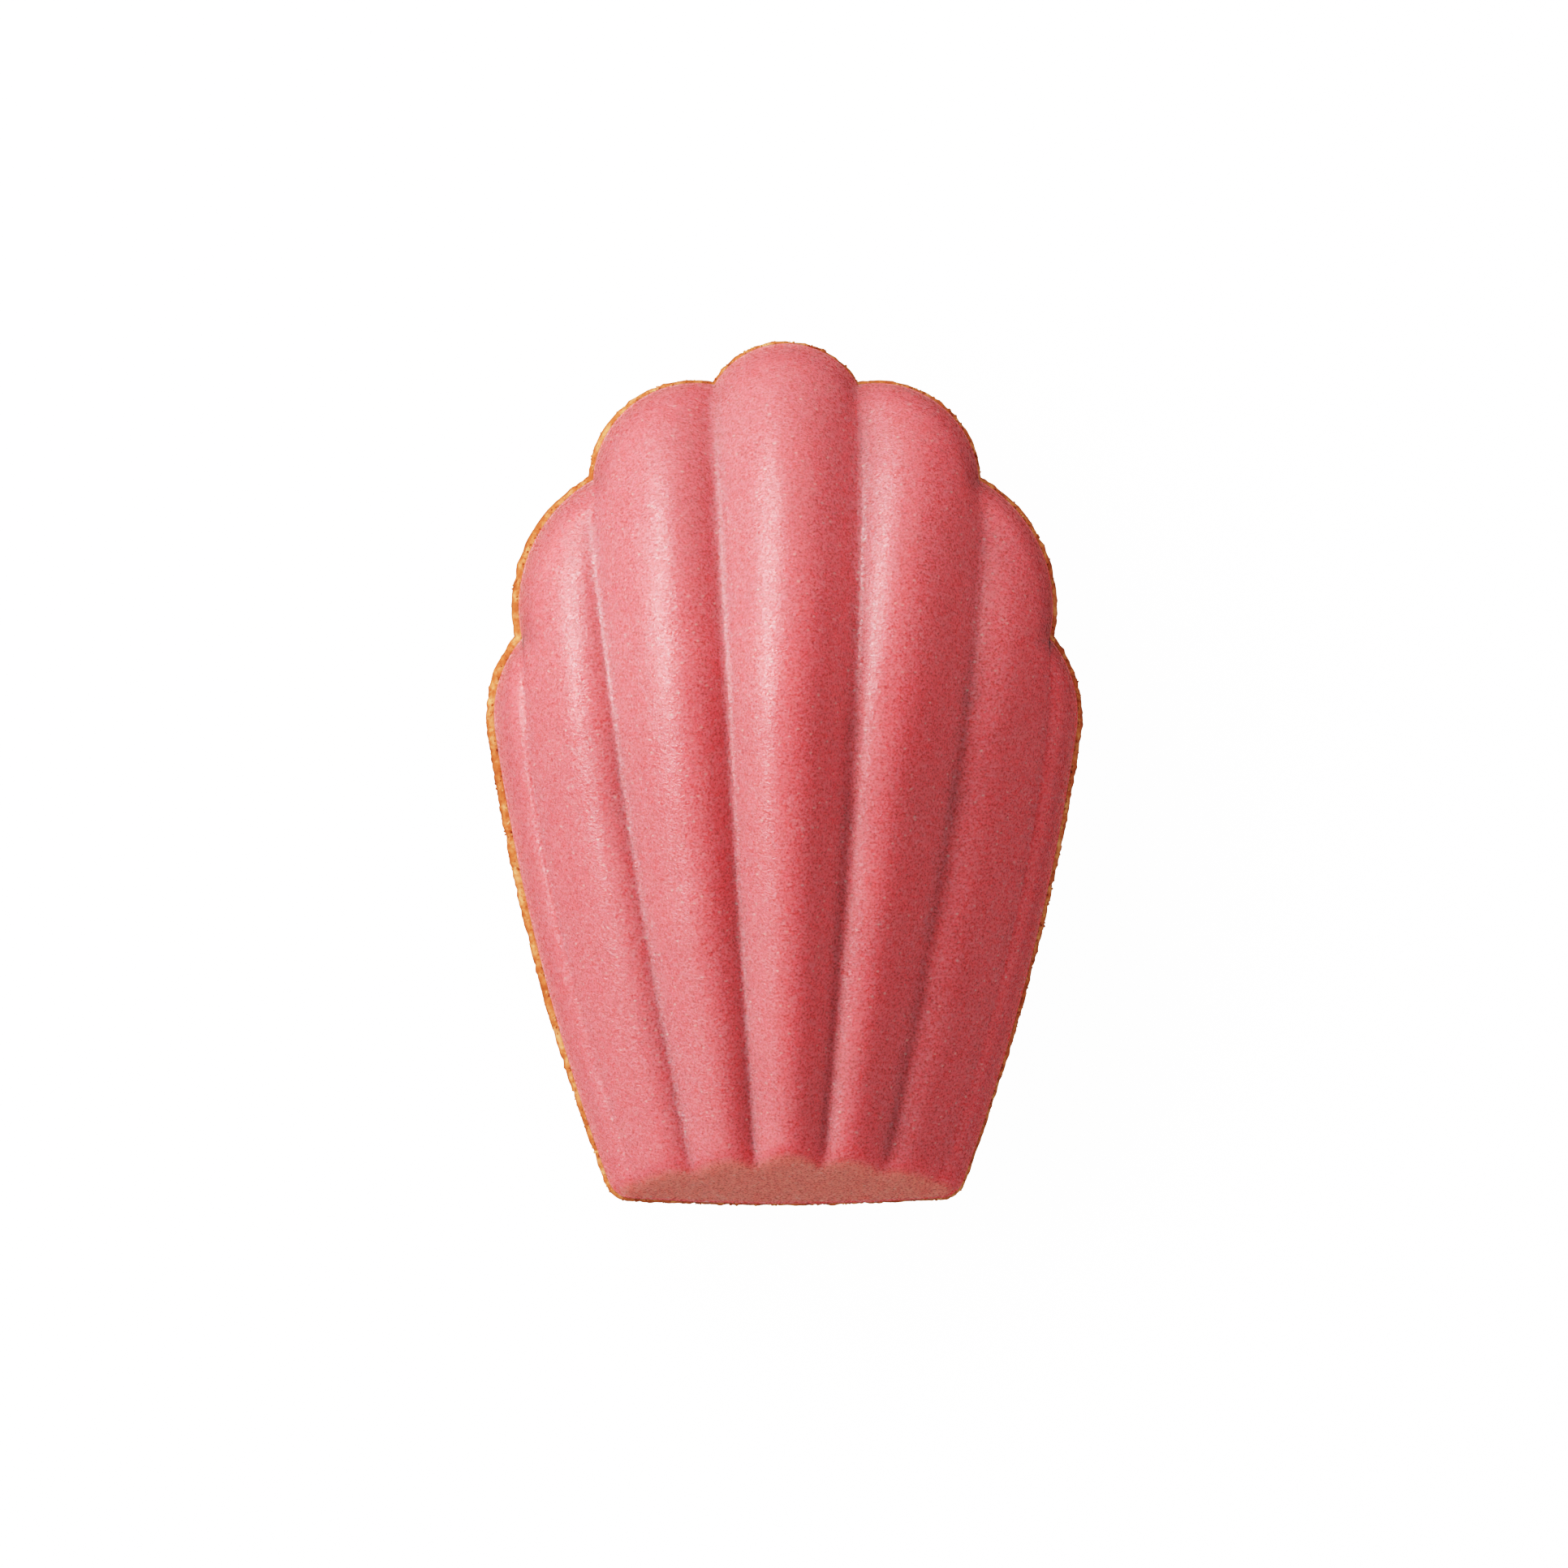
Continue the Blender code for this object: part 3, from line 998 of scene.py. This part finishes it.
class MADELEINE_OT_sponge(bpy.types.Operator):
    """Models the sponge with its browned rim and hump, and the crumbs on its rim"""

    bl_idname = "madeleine.sponge"
    bl_label = "Sponge and crumbs"

    def execute(self, context):
        settings = context.scene.madeleine_sponge
        crust = baked_crust(settings)
        mesh = bmesh.new()
        model_sponge(mesh, settings)
        finish_piece("sponge_cake", mesh, crust, "cake")
        mesh = bmesh.new()
        model_crumbs(mesh, settings)
        finish_piece("rim_crumbs", mesh, crust, None)
        return {"FINISHED"}


def add_softbox(name, bearing_angle, lift, distance, size, power):
    """A soft box aimed at the cake, from an angle round it and a height angle over the floor."""
    data = bpy.data.lights.new(name, "AREA")
    data.shape = "RECTANGLE"
    data.size, data.size_y = size
    data.energy = power
    light = bpy.data.objects.new(name, data)
    light.visible_camera = False
    turn = Matrix.Rotation(math.radians(bearing_angle), 3, "Z")
    turn = turn @ Matrix.Rotation(math.radians(-lift), 3, "Y")
    out = turn @ Vector((distance, 0, 0))
    light.location = edge_origin() + out
    light.rotation_mode = "QUATERNION"
    light.rotation_quaternion = out.to_track_quat("Z", "Y")
    bpy.context.scene.collection.objects.link(light)


def add_floor(settings):
    """A light table under the cake, whose far edge sweeps up all round to hide the horizon."""
    mesh = bmesh.new()
    bmesh.ops.create_circle(mesh, cap_ends=True, segments=96, radius=2.4)
    loop = [edge for edge in mesh.edges if edge.is_boundary]
    for step in range(1, 9):
        angle = math.radians(11.25 * step)
        radius = 2.4 + 0.6 * math.sin(angle)
        made = bmesh.ops.extrude_edge_only(mesh, edges=loop)["geom"]
        for vert in made:
            if isinstance(vert, bmesh.types.BMVert):
                vert.co.z = 0.0
                vert.co = vert.co.normalized() * radius
                vert.co.z = 0.6 * (1 - math.cos(angle))
        loop = [item for item in made if isinstance(item, bmesh.types.BMEdge) and item.is_boundary]
    data = bpy.data.meshes.new("floor")
    mesh.to_mesh(data)
    mesh.free()
    data.materials.append(lit_acrylic(settings))
    floor = bpy.data.objects.new("floor", data)
    floor.location.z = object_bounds()[0].z
    # The room's light, which comes from below as well, stands in for the light off the floor.
    floor.visible_diffuse = False
    floor.visible_glossy = False
    floor.visible_shadow = False
    bpy.context.scene.collection.objects.link(floor)
    floor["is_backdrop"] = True


def set_tone_curve(view):
    """A print's tone curve: soft highlights, and shadows that keep their colour."""
    view.view_transform = "Standard"
    view.use_curve_mapping = True
    mapping = view.curve_mapping
    mapping.white_level = (WHITE_LEVEL,) * 3
    tones = mapping.curves[3].points
    tones[1].location = (1.0, 1.0)
    for light, tone in TONES:
        tones.new(light / WHITE_LEVEL, tone)
    mapping.update()


def add_camera(settings):
    """Looks almost straight down, with the scalloped end at the top of the frame."""
    data = bpy.data.cameras.new("camera")
    data.lens = settings.lens
    camera = bpy.data.objects.new("camera", data)
    distance = settings.frame_width * data.lens / data.sensor_width
    lean = Matrix.Rotation(-settings.lean_left, 4, "Y") @ Matrix.Rotation(-settings.lean_ahead, 4, "X")
    middle = Matrix.Translation((-0.1 * MM, -0.82 * MM, edge_origin().z))
    camera.matrix_world = middle @ lean @ Matrix.Translation((0, 0, distance))
    bpy.context.scene.collection.objects.link(camera)
    bpy.context.scene.camera = camera


class MADELEINE_OT_stage(bpy.types.Operator):
    """Lays the floor and sets the lights and the camera"""

    bl_idname = "madeleine.stage"
    bl_label = "Stage"

    def execute(self, context):
        settings = context.scene.madeleine_stage
        add_floor(settings)
        add_softbox("key_softbox", 150, 34, 0.8, (1.34, 0.28), settings.key_power)
        add_softbox("fill_softbox", 75, 25, 1.0, (0.73, 0.54), settings.fill_power)
        world = bpy.data.worlds.new("room")
        world.use_nodes = True
        background = world.node_tree.nodes["Background"]
        background.inputs["Color"].default_value = (1, 1, 1, 1)
        background.inputs["Strength"].default_value = settings.room_light
        world.cycles_visibility.glossy = False  # only the soft boxes show in the sheen
        context.scene.world = world
        set_tone_curve(context.scene.view_settings)
        add_camera(settings)
        return {"FINISHED"}


class MADELEINE_PT_panel(bpy.types.Panel):
    """Lists the pieces and their settings"""

    bl_label = "Madeleine"
    bl_idname = "MADELEINE_PT_panel"
    bl_space_type = "VIEW_3D"
    bl_region_type = "UI"
    bl_category = "Madeleine"

    def draw(self, context):
        scene = context.scene
        for operator, settings in (
            ("madeleine.coating", scene.madeleine_coating),
            ("madeleine.sponge", scene.madeleine_sponge),
            ("madeleine.stage", scene.madeleine_stage),
        ):
            box = self.layout.box()
            box.operator(operator)
            for name in settings.bl_rna.properties.keys():
                if name not in {"rna_type", "name"}:
                    box.prop(settings, name)


CLASSES = (
    CoatingSettings,
    SpongeSettings,
    StageSettings,
    MADELEINE_OT_coating,
    MADELEINE_OT_sponge,
    MADELEINE_OT_stage,
    MADELEINE_PT_panel,
)
SETTINGS = {
    "madeleine_coating": CoatingSettings,
    "madeleine_sponge": SpongeSettings,
    "madeleine_stage": StageSettings,
}


def register():
    for made in CLASSES:
        bpy.utils.register_class(made)
    for name, group in SETTINGS.items():
        setattr(bpy.types.Scene, name, PointerProperty(type=group))


def unregister():
    for name in SETTINGS:
        delattr(bpy.types.Scene, name)
    for made in reversed(CLASSES):
        bpy.utils.unregister_class(made)


def main():
    register()
    bpy.ops.madeleine.coating()
    bpy.ops.madeleine.sponge()
    bpy.ops.madeleine.stage()


if __name__ == "__main__":
    main()
